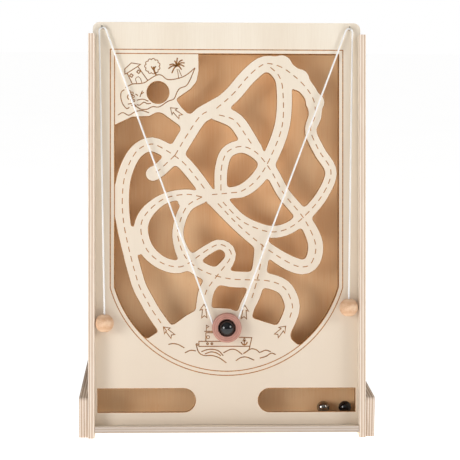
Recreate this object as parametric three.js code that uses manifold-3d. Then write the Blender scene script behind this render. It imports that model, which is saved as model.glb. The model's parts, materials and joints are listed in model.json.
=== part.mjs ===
// A table-top ball maze. A fretwork board leans back between two side panels on two feet. A wooden
// ring carries a ball up the board: it hangs on two cords, which run through screw eyes at the top
// corners down to two knobs. A ball that falls through the board lands in a trough with two pockets.
//
// Millimetres, +Z up, +X to the right, the player at -Y. The case is drawn in its own frame: x across,
// y up along the maze board, z out of the board's face. The whole frame leans back.

import * as THREE from 'three';
import Module from 'manifold-3d';
import { mergeVertices } from 'three/addons/utils/BufferGeometryUtils.js';

const wasm = await Module();
wasm.setup();

// Driving dimensions
const LEAN = THREE.MathUtils.degToRad(7.5);
const GAP = 0.3; // between pieces that touch
const EDGE_U = 131.4; // side panels' inner faces
const SIDE = { thick: 6.5, top: 401, front: 14, back: -36, groove: 2.9 };
const BOARD = { half: 134, bottom: 11.8, top: 414, thick: 4.8, corner: 7 };
const BACK = { half: 134, bottom: 11.8, top: 400, front: -28, thick: 3.8 };
const RAIL = { bottom: 5.2, top: 11.5, front: 14, back: -22 };
const TROUGH_TOP = 19.4;
const TOP_RAIL = { bottom: 393, top: 400 };
const FOOT = { thick: 8.6, height: 40, setback: 4, length: 182, corner: 3 };
const WINDOW = { half: 111.8, top: 382.2, arcCentre: [-0.1, 182], arcRadius: 116.5 };
const POCKET = { outer: 128.8, inner: 31.4, bottom: 24.3, top: 47.8 };
const EYE = { v: 408, w: 3.3, radius: 1.9, wire: 1.2, shank: 1.5, depth: 3.5, bore: 2.2 };
const EYES = { left: -124.7, right: 123 };
const RING = { u: -0.3, v: 109, back: 0.8, thick: 10, outer: 14.7, hole: 8.6, round: 1.8, bevel: 0.6 };
const RING_BALL = 8;
const TROUGH_BALL = { radius: 6.5, steel: 98.9, black: 121 };
const KNOB = { radius: 9.2, flat: 4.2, hole: 1.7, w: 10.2 };
const KNOBS = { left: [-121.8, 113.9], right: [121.3, 129.1] };
// Where the cords end: beside the ring, and below the middle of each eye, towards the ring or the knob
const CORD = { radius: 1, clear: 0.45, inner: [-2.1, -3.4], outer: [1.9, -2.7] };
const RING_ANGLE = { left: 177, right: 33 };
const FOOT_SCREW = { head: 3.6, shank: 1.5, countersink: 2.4, length: 13, sunk: 0.3 };
// For each foot's two screws, the distance behind the foot's front end and the height
const SCREWS = { front: [8, 14], rear: [34, 26] };
const FOOT_FRONT = -SIDE.front * Math.cos(LEAN) + FOOT.setback;

// Paths of the maze, each a line of points [x, y, width] along its middle
const PATHS = {
  outer_left: [
    [-60, 105, 14.5], [-74.5, 126, 14.5], [-79.5, 135, 14.5], [-87, 149, 14.5], [-91.5, 163, 14.5],
    [-98, 188, 14.5], [-103.3, 213, 15], [-105.3, 237, 15.8], [-102, 262, 14.8], [-91, 284, 14.5],
    [-77.5, 292, 15], [-66, 289, 15], [-45, 275, 14.5], [-31, 259, 14.5], [-19, 243, 14],
  ],
  left_join: [[-94.6, 208.5, 4], [-92.8, 200, 6], [-90, 190, 6], [-87.8, 183, 4]],
  rise: [
    [-52, 281, 17], [-39.5, 302, 17], [-27, 320, 17], [-16.5, 326.5, 17], [-1.5, 335, 17],
  ],
  dead_end: [[-52, 281, 15], [-60.5, 273, 15], [-68, 266, 15], [-74, 262.5, 15]],
  top_right: [
    [-10.5, 328, 17], [5.5, 342, 17], [22, 361, 17], [35, 371.5, 17], [43.5, 373, 17],
    [57.5, 368, 17], [75, 354, 16.5], [86.5, 338, 15], [88.5, 321.5, 14], [84, 306.5, 12.5],
    [92.5, 286, 12.5], [104.5, 265, 12.5], [95.5, 241, 12.5], [77.5, 220, 13], [62.5, 208.5, 13],
    [47.5, 204.5, 13], [33, 207, 13], [13.5, 216.5, 13], [-6.5, 237, 13],
  ],
  middle: [
    [45.5, 372, 16], [55, 360, 16], [57.5, 346, 16], [55.5, 311.5, 16], [44, 280, 16],
    [31, 258, 15], [16, 246, 14], [3.5, 243.5, 12], [-25, 241, 12],
  ],
  loop: [
    [-6, 240, 13.5], [-5.5, 268.5, 13.5], [0.5, 284.5, 13.5], [15, 290, 13.5], [30, 283.5, 13.5],
    [44, 266, 13.5], [57, 243, 13.5], [77.5, 217.5, 14], [89, 192, 16], [85.5, 174.5, 16],
    [77.5, 169.5, 16], [64.5, 172.5, 16], [41, 187, 14], [13.5, 209.5, 13.5], [-15.5, 238.5, 13.5],
  ],
  cross: [[-11.5, 325, 17], [8.5, 315.5, 17], [20, 299.5, 17], [29, 286, 15]],
  left_middle: [
    [-25, 239.5, 11], [-41.5, 242, 11], [-64, 237, 11.5], [-81.5, 221.5, 14], [-86, 207, 15],
    [-80.5, 187.5, 15], [-66, 174, 14], [-50, 169.5, 14], [-39.5, 172.5, 13], [-19.5, 186.5, 11],
    [-7, 192, 11], [3, 186, 11], [3, 177.5, 11.5], [-9.5, 161, 14.5], [-20, 146.5, 16],
    [-24, 124, 16],
  ],
  inner_left: [
    [-25, 239.5, 13], [-40, 230, 12.5], [-48.3, 210, 12], [-48.5, 197, 12.5], [-40.5, 178, 15.5],
    [-23, 165, 16.5], [3.5, 157.5, 17], [41, 155.5, 16], [58, 148, 16], [65.5, 132, 16],
    [64.5, 123, 16], [56.5, 105, 16],
  ],
  stem: [[35.5, 192, 15.8], [33, 168.5, 15.8], [26, 141, 15.8], [21, 131, 15.8], [17.5, 120, 15.8]],
};
// Round bulges, as [x, y, radius]: three beside the top right path and one in a fork on the left
const BULGES = [[54.5, 370.5, 11.5], [72, 357, 11.2], [88.5, 334.5, 9.8], [-44, 235, 5.5]];

// The island in the window's top left corner, with the goal hole, and the ground at the bottom
const ISLAND = [
  [-116, 386], [-28.4, 386], [-28, 366], [-30, 354.5], [-36.5, 347], [-50.8, 337], [-45, 329],
  [-40, 324], [-28, 318], [-40, 300], [-48.5, 311], [-64, 322.3], [-69, 324.3], [-77.5, 319.8],
  [-95, 319], [-116, 309],
];
const GOAL = { x: -69, y: 343.8, radius: 11 };
// Rounding in the corners between the paths: how far each side of a corner it starts, the share of
// the way to the next corner that it may take, and the least turn in degrees that is a corner
const CORNER = { reach: 3.4, room: 0.42, turn: 30, steps: 4 };
const GROUND = [
  [-80.5, 97.5], [-71, 103.5], [-52, 113], [-41, 121], [-34, 125], [-13.5, 129], [3.5, 128],
  [25, 118.7], [48.5, 111.5], [66.5, 109.3], [64, 103.5], [64.7, 97.5], [73, 90], [60, 60],
  [-60, 60],
];

// The leaning case in the upright frame, and the way back
const leaning = new THREE.Group();
leaning.rotation.x = Math.PI / 2 - LEAN;
leaning.position.z = -SIDE.front * Math.sin(LEAN);
leaning.updateMatrix();
const TO_CASE = leaning.matrix.clone().invert();

// ---- solids ----

function solid(geometry) {
  const bare = geometry.clone();
  bare.deleteAttribute('normal');
  bare.deleteAttribute('uv');
  const merged = mergeVertices(bare, 1e-5);
  const vertProperties = new Float32Array(merged.attributes.position.array);
  const triVerts = new Uint32Array(merged.index.array);
  return new wasm.Manifold(new wasm.Mesh({ numProp: 3, vertProperties, triVerts }));
}

function geometryOf(manifold) {
  const mesh = manifold.getMesh();
  const geometry = new THREE.BufferGeometry();
  geometry.setAttribute('position', new THREE.BufferAttribute(mesh.vertProperties, 3));
  geometry.setIndex(new THREE.BufferAttribute(mesh.triVerts, 1));
  return geometry;
}

function plate(shape, from, to, curveSegments = 12) {
  const options = { depth: to - from, bevelEnabled: false, curveSegments };
  return new THREE.ExtrudeGeometry(shape, options).translate(0, 0, from);
}

function box(low, high) {
  const size = high.map((value, i) => value - low[i]);
  const middle = high.map((value, i) => (value + low[i]) / 2);
  return new THREE.BoxGeometry(...size).translate(...middle);
}

function polygon(points) {
  return new THREE.Shape(points.map(([x, y]) => new THREE.Vector2(x, y)));
}

function disc(x, y, radius) {
  return new THREE.Shape().absarc(x, y, radius, 0, 2 * Math.PI);
}

// A lathe's axis turned from y to z, so that the piece faces out of the board
function lathe(points, segments) {
  const profile = points.map(([r, y]) => new THREE.Vector2(r, y));
  return new THREE.LatheGeometry(profile, segments).rotateX(Math.PI / 2);
}

function tube(from, to, radius, steps) {
  const path = new THREE.LineCurve3(new THREE.Vector3(...from), new THREE.Vector3(...to));
  const section = new THREE.Shape().absarc(0, 0, radius, 0, 2 * Math.PI);
  const options = { extrudePath: path, steps, curveSegments: 4, bevelEnabled: false };
  return new THREE.ExtrudeGeometry(section, options);
}

// ---- maze board ----

// A path's outline: both sides of a smooth line through its points, with round ends
function ribbon(points, spacing = 4.5) {
  const curve = new THREE.CatmullRomCurve3(points.map((p) => new THREE.Vector3(...p)));
  const count = Math.ceil(curve.getLength() / spacing);
  const left = [];
  const right = [];
  for (let i = 0; i <= count; i += 1) {
    const t = curve.getUtoTmapping(i / count);
    const at = curve.getPoint(t);
    const along = curve.getTangent(t);
    const across = new THREE.Vector2(-along.y, along.x).normalize().multiplyScalar(at.z / 2);
    left.push(new THREE.Vector2(at.x + across.x, at.y + across.y));
    right.push(new THREE.Vector2(at.x - across.x, at.y - across.y));
  }
  return new THREE.Shape([...left, ...right.reverse()]);
}

function pathSolid(points, low, high) {
  let path = solid(plate(ribbon(points), low, high));
  for (const [x, y, width] of [points[0], points.at(-1)]) {
    path = path.add(solid(plate(disc(x, y, width / 2), low, high, 10)));
  }
  return path;
}

function windowShape() {
  const [x, y] = WINDOW.arcCentre;
  const start = Math.acos(WINDOW.half / WINDOW.arcRadius);
  const shape = new THREE.Shape();
  shape.moveTo(WINDOW.half, WINDOW.top);
  shape.lineTo(-WINDOW.half, WINDOW.top);
  shape.absarc(x, y, WINDOW.arcRadius, Math.PI + start, 2 * Math.PI - start, false);
  return shape;
}

function pocketShape(side) {
  const radius = (POCKET.top - POCKET.bottom) / 2;
  const centre = side * (POCKET.inner + radius);
  const shape = new THREE.Shape();
  shape.moveTo(side * POCKET.outer, POCKET.top);
  shape.lineTo(side * POCKET.outer, POCKET.bottom);
  shape.absarc(centre, POCKET.bottom + radius, radius, -Math.PI / 2, Math.PI / 2, side > 0);
  return shape;
}

function boardOutline() {
  const { half, bottom, top, corner } = BOARD;
  const shape = new THREE.Shape();
  shape.moveTo(-half, bottom);
  shape.lineTo(half, bottom);
  shape.absarc(half - corner, top - corner, corner, 0, Math.PI / 2);
  shape.absarc(-half + corner, top - corner, corner, Math.PI / 2, Math.PI);
  return shape;
}

// The outlines of the top of an upright solid, each a loop of points
function topOutlines(upright, top) {
  const { vertProperties, triVerts } = upright.getMesh();
  const isTop = (i) => Math.abs(vertProperties[3 * i + 2] - top) < 1e-4;
  const nexts = new Map();
  for (let i = 0; i < triVerts.length; i += 3) {
    const corners = [...triVerts.slice(i, i + 3)];
    if (corners.every(isTop)) {
      corners.forEach((a, k) => {
        const b = corners[(k + 1) % 3];
        nexts.set(`${a} ${b}`, [a, b]);
      });
    }
  }
  const edges = [...nexts.values()].filter(([a, b]) => !nexts.has(`${b} ${a}`));
  const follow = new Map(edges);
  const outlines = [];
  while (follow.size > 0) {
    const loop = [];
    let here = follow.keys().next().value;
    while (follow.has(here)) {
      loop.push(new THREE.Vector2(vertProperties[3 * here], vertProperties[3 * here + 1]));
      const next = follow.get(here);
      follow.delete(here);
      here = next;
    }
    outlines.push(loop);
  }
  return outlines;
}

// The turn at each point of a closed loop, in degrees
function turns(loop) {
  return loop.map((here, i) => {
    const into = here.clone().sub(loop.at(i - 1));
    const out = loop[(i + 1) % loop.length].clone().sub(here);
    return Math.abs(THREE.MathUtils.radToDeg(Math.atan2(into.cross(out), into.dot(out))));
  });
}

// The point of a closed loop at a distance along it; long holds its points' own distances
function pointAt(loop, long, distance) {
  const at = (distance + long.at(-1)) % long.at(-1);
  const i = long.findLastIndex((before) => before <= at);
  const share = (at - long[i]) / (long[i + 1] - long[i]);
  return loop[i].clone().lerp(loop[(i + 1) % loop.length], share);
}

// A closed loop with its corners rounded, apart from those on the window's own edge
function roundCorners(loop) {
  const long = [0];
  loop.forEach((point, i) => long.push(long[i] + point.distanceTo(loop[(i + 1) % loop.length])));
  const apart = (i, k) => {
    const one = Math.abs(long[i] - long[k]);
    return Math.min(one, long.at(-1) - one);
  };
  const turn = turns(loop);
  const corners = [...loop.keys()].filter((i) => turn[i] > CORNER.turn);
  const isInside = ({ x, y }) => Math.abs(x) < WINDOW.half - 1 && y < WINDOW.top - 1;
  const reaches = new Map();
  for (const i of corners.filter((corner) => isInside(loop[corner]))) {
    const rooms = corners.filter((k) => k !== i).map((k) => CORNER.room * apart(i, k));
    reaches.set(i, Math.min(CORNER.reach, ...rooms));
  }
  return loop.flatMap((point, i) => {
    if (reaches.has(i)) {
      const [before, after] = [-1, 1].map((way) => pointAt(loop, long, long[i] + way * reaches.get(i)));
      return new THREE.QuadraticBezierCurve(before, point, after).getPoints(CORNER.steps);
    }
    const isCut = [...reaches].some(([k, reach]) => apart(i, k) < reach + GAP);
    return isCut ? [] : [point];
  });
}

function mazeBoard() {
  const [low, high] = [-BOARD.thick - 1, 1];
  let holes = solid(plate(windowShape(), low, high, 64));
  for (const points of Object.values(PATHS)) {
    holes = holes.subtract(pathSolid(points, low - 1, high + 1));
  }
  for (const [x, y, radius] of BULGES) {
    holes = holes.subtract(solid(plate(disc(x, y, radius), low - 1, high + 1, 18)));
  }
  holes = holes.subtract(solid(plate(polygon(ISLAND), low - 1, high + 1)));
  holes = holes.subtract(solid(plate(polygon(GROUND), low - 1, high + 1)));
  const rounded = topOutlines(holes, high).map(roundCorners);
  holes = rounded
    .map((loop) => solid(plate(new THREE.Shape(loop), low, high)))
    .reduce((all, hole) => all.add(hole));
  holes = holes.add(solid(plate(disc(GOAL.x, GOAL.y, GOAL.radius), low, high, 18)));
  for (const [name, side] of [['left', -1], ['right', 1]]) {
    const bore = disc(EYES[name], EYE.v, EYE.bore / 2);
    holes = holes.add(solid(plate(pocketShape(side), low, high, 10)));
    holes = holes.add(solid(plate(bore, -EYE.depth - 0.5, high, 6)));
  }
  const board = solid(plate(boardOutline(), -BOARD.thick, 0, 5)).subtract(holes);
  return geometryOf(board);
}

// ---- case ----

// The table's height along a line square to the board at depth z
function tableAt(z) {
  return ((SIDE.front - z) * Math.sin(LEAN)) / Math.cos(LEAN);
}

// What is under the table, in the case's frame
function belowTable() {
  const [front, back] = [SIDE.front + 5, SIDE.back - 5];
  const under = -20;
  const outline = polygon([
    [-front, tableAt(front)], [-back, tableAt(back)], [-back, under], [-front, under],
  ]);
  const reach = EDGE_U + 2 * SIDE.thick;
  return solid(plate(outline, -reach, reach).rotateY(Math.PI / 2));
}

// A side panel as seen from above, with grooves for the board and the back, cut level with the table
function sidePanel(side) {
  const inner = EDGE_U;
  const outer = EDGE_U + SIDE.thick;
  const groove = EDGE_U + SIDE.groove;
  const grooves = [
    [GAP, -BOARD.thick - GAP],
    [BACK.front + GAP, BACK.front - BACK.thick - GAP],
  ];
  const points = [[outer, SIDE.back], [outer, SIDE.front], [inner, SIDE.front]];
  for (const [from, to] of grooves) {
    points.push([inner, from], [groove, from], [groove, to], [inner, to]);
  }
  points.push([inner, SIDE.back]);
  const section = polygon(points.map(([x, z]) => [side * x, -z]));
  const panel = solid(plate(section, 0, SIDE.top).rotateX(-Math.PI / 2));
  let cutter = belowTable();
  for (const place of Object.keys(SCREWS)) {
    cutter = cutter.add(solid(footScrew(side, place, GAP).applyMatrix4(TO_CASE)));
  }
  return geometryOf(panel.subtract(cutter));
}

function crossRail({ bottom, top, front, back }) {
  const half = EDGE_U - GAP;
  return box([-half, bottom, back], [half, top, front]);
}

function caseParts(add) {
  const inside = { front: -BOARD.thick - GAP, back: BACK.front + GAP };
  const back = [BACK.front - BACK.thick, BACK.front];
  add('maze_board', mazeBoard(), 'birch');
  const backPanel = box([-BACK.half, BACK.bottom, back[0]], [BACK.half, BACK.top, back[1]]);
  add('back_panel', backPanel, 'backing');
  add('side_panel_left', sidePanel(-1), 'birch');
  add('side_panel_right', sidePanel(1), 'birch');
  add('bottom_rail', crossRail(RAIL), 'birch');
  add('top_rail', crossRail({ ...TOP_RAIL, ...inside }), 'birch');
  add('trough_floor', crossRail({ bottom: BOARD.bottom, top: TROUGH_TOP, ...inside }), 'birch');
}

// ---- cords, ring, knobs and balls ----

function screwEye(name) {
  const loop = new THREE.TorusGeometry(EYE.radius, EYE.wire / 2, 8, 20).rotateY(Math.PI / 2);
  const from = -EYE.depth - EYE.w;
  const shank = new THREE.CylinderGeometry(EYE.shank / 2, EYE.shank / 2, -EYE.radius - from, 10);
  shank.rotateX(Math.PI / 2).translate(0, 0, (from - EYE.radius) / 2);
  const eye = solid(loop).add(solid(shank));
  return geometryOf(eye).translate(EYES[name], EYE.v, EYE.w);
}

// The ring's cross-section, with a bevelled hole and a rounded rim
function ringProfile() {
  const { outer, hole, thick, round, bevel } = RING;
  const points = [[hole, bevel], [hole + bevel, 0]];
  for (let i = 0; i <= 4; i += 1) {
    const angle = (i / 4) * (Math.PI / 2);
    points.push([outer - round + round * Math.sin(angle), round - round * Math.cos(angle)]);
  }
  const mirrored = points.map(([r, y]) => [r, thick - y]).reverse();
  return [...points, ...mirrored, points[0]];
}

// A turned bead: a sphere with flat ends and a hole through it for the cord
function knobProfile() {
  const { radius, flat, hole } = KNOB;
  const start = Math.asin(flat / radius);
  const height = radius * Math.cos(start);
  const points = [[hole, -height]];
  const steps = 12;
  for (let i = 0; i <= steps; i += 1) {
    const angle = start + (i / steps) * (Math.PI - 2 * start);
    points.push([radius * Math.sin(angle), -radius * Math.cos(angle)]);
  }
  points.push([hole, height], [hole, -height]);
  return points;
}

function onRing(degrees) {
  const angle = THREE.MathUtils.degToRad(degrees);
  const reach = RING.outer + CORD.radius + CORD.clear;
  return [RING.u + reach * Math.cos(angle), RING.v + reach * Math.sin(angle)];
}

function cordParts(add, name, side) {
  const [knobU, knobV] = KNOBS[name];
  const ringW = RING.back + RING.thick / 2;
  const knobTop = knobV + Math.sqrt(KNOB.radius ** 2 - KNOB.flat ** 2);
  const ends = [CORD.inner, CORD.outer];
  const [inner, outer] = ends.map(([x, y]) => [EYES[name] + side * x, EYE.v + y, EYE.w]);
  const ring = [...onRing(RING_ANGLE[name]), ringW];
  const knob = [knobU, knobTop + GAP, KNOB.w];
  add(`cord_${name}_diagonal`, tube(inner, ring, CORD.radius, 20), 'cord');
  add(`cord_${name}_strand`, tube(outer, knob, CORD.radius, 20), 'cord');
  const profile = knobProfile().map(([r, y]) => new THREE.Vector2(r, y));
  const bead = new THREE.LatheGeometry(profile, 24);
  add(`knob_${name}`, bead.translate(knobU, knobV, KNOB.w), 'beech');
  add(`screw_eye_${name}`, screwEye(name), 'steel');
}

function ball(radius, x, y, z) {
  return new THREE.SphereGeometry(radius, 20, 14).translate(x, y, z);
}

function ringParts(add) {
  const ring = lathe(ringProfile(), 36);
  add('ring', ring.translate(RING.u, RING.v, RING.back), 'ring_wood');
  add('ring_ball', ball(RING_BALL, RING.u, RING.v - GAP, RING_BALL + GAP), 'black');
}

function troughBalls(add) {
  const { radius, steel, black } = TROUGH_BALL;
  const y = TROUGH_TOP + GAP + radius;
  const z = BACK.front + GAP + radius;
  add('pocket_ball_steel', ball(radius, steel, y, z), 'steel');
  add('pocket_ball_black', ball(radius, black, y, z), 'black');
}

// ---- feet, drawn level: x along the foot from front to back, y up ----

// A countersunk screw, or with extra the hole for it, open past the foot's face
function footScrewProfile(extra) {
  const { head, shank, countersink, length, sunk } = FOOT_SCREW;
  const tip = -length - extra;
  const top = extra > 0 ? 1 : -sunk;
  return [
    [0, tip], [shank + extra, tip], [shank + extra, -countersink], [head + extra, -sunk],
    [head + extra, top], [0, top],
  ];
}

function footScrew(side, place, extra) {
  const [along, up] = SCREWS[place];
  const u = EDGE_U + SIDE.thick + GAP + FOOT.thick;
  const profile = footScrewProfile(extra).map(([r, h]) => new THREE.Vector2(r, h));
  const turned = new THREE.LatheGeometry(profile, 14).rotateZ((-side * Math.PI) / 2);
  return turned.translate(side * u, FOOT_FRONT + along, up);
}

function foot(side) {
  const { length, height, corner, thick } = FOOT;
  const shape = new THREE.Shape();
  shape.moveTo(0, 0);
  shape.lineTo(length, 0);
  shape.absarc(length - corner, height - corner, corner, 0, Math.PI / 2);
  shape.absarc(corner, height - corner, corner, Math.PI / 2, Math.PI);
  const from = EDGE_U + SIDE.thick + GAP;
  const profile = plate(shape, from, from + thick, 6);
  if (side < 0) {
    profile.translate(0, 0, -2 * from - thick);
  }
  // x along the foot becomes +Y, y becomes +Z, depth becomes +X
  profile.applyMatrix4(new THREE.Matrix4().makeBasis(
    new THREE.Vector3(0, 1, 0),
    new THREE.Vector3(0, 0, 1),
    new THREE.Vector3(1, 0, 0),
  ));
  return profile.translate(0, FOOT_FRONT, 0);
}

function footParts(add) {
  for (const [name, side] of [['left', -1], ['right', 1]]) {
    let body = solid(foot(side));
    for (const place of Object.keys(SCREWS)) {
      body = body.subtract(solid(footScrew(side, place, GAP)));
      add(`foot_screw_${name}_${place}`, footScrew(side, place, 0), 'steel');
    }
    add(`foot_${name}`, geometryOf(body), 'birch');
  }
}

// ---- the game ----

const MATERIALS = {
  birch: { color: 0xe3cfb2, roughness: 0.62, metalness: 0 },
  backing: { color: 0xb98a5e, roughness: 0.7, metalness: 0 },
  beech: { color: 0xd9b28e, roughness: 0.5, metalness: 0 },
  ring_wood: { color: 0xc0917e, roughness: 0.45, metalness: 0 },
  cord: { color: 0xf4f1ee, roughness: 0.9, metalness: 0 },
  steel: { color: 0xb9b9bd, roughness: 0.22, metalness: 1 },
  black: { color: 0x0a0a0c, roughness: 0.08, metalness: 0 },
};

function adder(group) {
  return (name, geometry, finish) => {
    const mesh = new THREE.Mesh(geometry, new THREE.MeshStandardMaterial(MATERIALS[finish]));
    mesh.name = name;
    group.add(mesh);
  };
}

const level = new THREE.Group();
const game = new THREE.Group();
game.add(leaning, level);

const addLeaning = adder(leaning);
caseParts(addLeaning);
ringParts(addLeaning);
troughBalls(addLeaning);
cordParts(addLeaning, 'left', -1);
cordParts(addLeaning, 'right', 1);
footParts(adder(level));

// The origin is under the middle of the object, on the table
const extent = new THREE.Box3().setFromObject(game, true);
game.position.y = -(extent.min.y + extent.max.y) / 2;

export default game;
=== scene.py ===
"""The looks of a table-top ball maze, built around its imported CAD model.

A birch plywood case leans back on two feet. Its fretwork board carries laser engraving, a turned ring
with a ball hangs on two twisted cords, and the cords run through screw eyes down to two beads.

Case places are (across, up, out) in millimetres: across the board, up along its face, and out of its
face towards the player. Everything else is in metres, in the frame's own axes.
"""

import json
import math

import bmesh
import bpy
from mathutils import Matrix, Vector

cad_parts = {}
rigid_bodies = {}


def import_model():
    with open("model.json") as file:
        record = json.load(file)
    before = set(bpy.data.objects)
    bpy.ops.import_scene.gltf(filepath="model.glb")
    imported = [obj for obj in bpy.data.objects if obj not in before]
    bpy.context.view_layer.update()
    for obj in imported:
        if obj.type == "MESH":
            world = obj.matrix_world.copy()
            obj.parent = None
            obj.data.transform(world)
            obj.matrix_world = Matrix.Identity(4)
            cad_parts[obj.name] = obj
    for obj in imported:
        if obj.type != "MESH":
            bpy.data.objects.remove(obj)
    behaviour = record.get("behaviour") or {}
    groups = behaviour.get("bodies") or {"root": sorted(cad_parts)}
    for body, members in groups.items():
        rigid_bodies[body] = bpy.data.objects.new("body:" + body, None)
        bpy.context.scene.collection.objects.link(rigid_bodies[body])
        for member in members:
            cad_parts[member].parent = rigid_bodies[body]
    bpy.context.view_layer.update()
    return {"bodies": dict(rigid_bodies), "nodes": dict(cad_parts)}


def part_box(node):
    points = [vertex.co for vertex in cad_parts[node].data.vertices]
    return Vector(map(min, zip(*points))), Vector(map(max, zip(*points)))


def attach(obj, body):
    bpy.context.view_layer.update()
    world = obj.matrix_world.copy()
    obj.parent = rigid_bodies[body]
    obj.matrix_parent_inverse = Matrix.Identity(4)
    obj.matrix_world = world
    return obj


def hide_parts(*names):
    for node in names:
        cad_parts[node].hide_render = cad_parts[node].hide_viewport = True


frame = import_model()

MM = 0.001
LEAN = math.radians(7.5)
ACROSS = Vector((1, 0, 0))
UP = Vector((0, math.sin(LEAN), math.cos(LEAN)))
OUT = Vector((0, -math.cos(LEAN), math.sin(LEAN)))
BOARD_BOTTOM, BOARD_TOP = 11.8, 414

# The case frame's origin, from the board's own box: its face is lowest in Y at its bottom edge
board_low, board_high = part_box("maze_board")
ORIGIN = Vector((
    0,
    board_low.y - BOARD_BOTTOM * MM * math.sin(LEAN),
    board_high.z - BOARD_TOP * MM * math.cos(LEAN),
))
CASE = Matrix.Translation(ORIGIN) @ Matrix((ACROSS, UP, OUT)).transposed().to_4x4()


def place(across, up, out=0):
    return CASE @ (Vector((across, up, out)) * MM)


# ---- camera ----

LENS_MM, SENSOR_MM = 123.4, 36
# Case places of the camera and of the point that it looks at
CAMERA_AT = (-60, 206.4, 1577)
CAMERA_LOOKS_AT = (3.1, 206.4, 0)
CAMERA_ROLL = math.radians(0.02)


def make_camera():
    data = bpy.data.cameras.new("camera")
    data.lens, data.sensor_width = LENS_MM, SENSOR_MM
    data.clip_start, data.clip_end = 0.01, 100
    camera = bpy.data.objects.new("camera", data)
    bpy.context.scene.collection.objects.link(camera)
    back = (place(*CAMERA_AT) - place(*CAMERA_LOOKS_AT)).normalized()
    right = UP.cross(back).normalized()
    turn = Matrix((right, back.cross(right), back)).transposed().to_4x4()
    roll = Matrix.Rotation(CAMERA_ROLL, 4, "Z")
    camera.matrix_world = Matrix.Translation(place(*CAMERA_AT)) @ turn @ roll
    bpy.context.scene.camera = camera


make_camera()


# ---- making meshes ----

def add_object(name, vertices, faces, matrix=CASE, smooth=True):
    """A mesh object from vertices in millimetres, in the axes of matrix."""
    mesh = bpy.data.meshes.new(name)
    mesh.from_pydata([Vector(v) * MM for v in vertices], [], faces)
    build = bmesh.new()
    build.from_mesh(mesh)
    bmesh.ops.recalc_face_normals(build, faces=build.faces)
    build.to_mesh(mesh)
    build.free()
    mesh.polygons.foreach_set("use_smooth", [smooth] * len(mesh.polygons))
    obj = bpy.data.objects.new(name, mesh)
    bpy.context.scene.collection.objects.link(obj)
    obj.matrix_world = matrix
    return obj


def finish_piece(obj, body, material, nodes=()):
    """Gives a piece its material and its body, and says which CAD nodes it stands in for."""
    obj.data.materials.append(material)
    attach(obj, body)
    if nodes:
        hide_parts(*nodes)


def ring_faces(count, around, closed=False):
    """Quads between count rings of around vertices each, with end caps where the tube is open."""
    faces = []
    for i in range(count if closed else count - 1):
        for k in range(around):
            here, there = i * around, (i + 1) % count * around
            nxt = (k + 1) % around
            faces.append((here + k, here + nxt, there + nxt, there + k))
    if not closed:
        faces.append(tuple(range(around)))
        faces.append(tuple(range((count - 1) * around, count * around)))
    return faces


def lathe(profile, segments, closed=False):
    """Vertices and faces of a profile [(radius, height), ...] turned about Z."""
    vertices = []
    for i in range(segments):
        angle = 2 * math.pi * i / segments
        for radius, height in profile:
            vertices.append((radius * math.cos(angle), radius * math.sin(angle), height))
    count = len(profile)
    faces = []
    for i in range(segments):
        here, there = i * count, (i + 1) % segments * count
        for k in range(count if closed else count - 1):
            nxt = (k + 1) % count
            faces.append((here + k, there + k, there + nxt, here + nxt))
    return vertices, faces


def sides_of(points):
    """For each point of a line: the direction along it, and two directions square to it."""
    made = []
    normal = None
    for i, point in enumerate(points):
        before, after = points[max(i - 1, 0)], points[min(i + 1, len(points) - 1)]
        along = (after - before).normalized()
        if normal is None:
            normal = along.orthogonal().normalized()
        normal = (normal - along * normal.dot(along)).normalized()
        made.append((along, normal, along.cross(normal)))
    return made


def tube(points, radius, around=12):
    """A closed tube of round section along points, with flat ends."""
    vertices = []
    for point, (_, one, two) in zip(points, sides_of(points)):
        for k in range(around):
            angle = 2 * math.pi * k / around
            vertices.append(point + (one * math.cos(angle) + two * math.sin(angle)) * radius)
    return vertices, ring_faces(len(points), around)


def join(*parts):
    """Several (vertices, faces) as one."""
    vertices, faces = [], []
    for some, more in parts:
        start = len(vertices)
        vertices += some
        faces += [tuple(i + start for i in face) for face in more]
    return vertices, faces


def turned(points, centre, degrees):
    """Points of the board's plane turned about (0, 0), then moved to a centre."""
    c, s = math.cos(math.radians(degrees)), math.sin(math.radians(degrees))
    return [(centre[0] + x * c - y * s, centre[1] + x * s + y * c) for x, y in points]


def arc(centre, radius, start, end, steps):
    """Points on an arc in the board's plane, from start to end in degrees."""
    angles = [math.radians(start + (end - start) * i / steps) for i in range(steps + 1)]
    return [(centre[0] + radius * math.cos(a), centre[1] + radius * math.sin(a)) for a in angles]


def smooth_line(points, step=1.5):
    """A Catmull-Rom line through points, sampled about step apart."""
    points = [Vector(p) for p in points]
    ends = [2 * points[0] - points[1], *points, 2 * points[-1] - points[-2]]
    made = []
    for a, b, c, d in zip(ends, ends[1:], ends[2:], ends[3:]):
        count = max(1, round((c - b).length / step))
        for i in range(count):
            t = i / count
            made.append(0.5 * (
                2 * b + (c - a) * t + (2 * a - 5 * b + 4 * c - d) * t * t
                + (3 * b - a - 3 * c + d) * t ** 3
            ))
    return [*made, points[-1]]


# ---- cords ----
# Each cord leaves the ring's rim, rises to its screw eye, turns over through it and drops into its
# bead. Where a joint moves the ring or a bead, the cord's two straight runs follow by hooks.

CORD_RADIUS, CORD_PITCH = 1.0, 7
CORD_STEP, CORD_AROUND = 0.9, 15
# The turn over the eye's wire: its radius, and its middle's place inwards of the eye and above it
TURN_RADIUS, TURN_INWARDS, TURN_UP, TURN_STEPS = 3.5, 0.8, 0.1, 8
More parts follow.
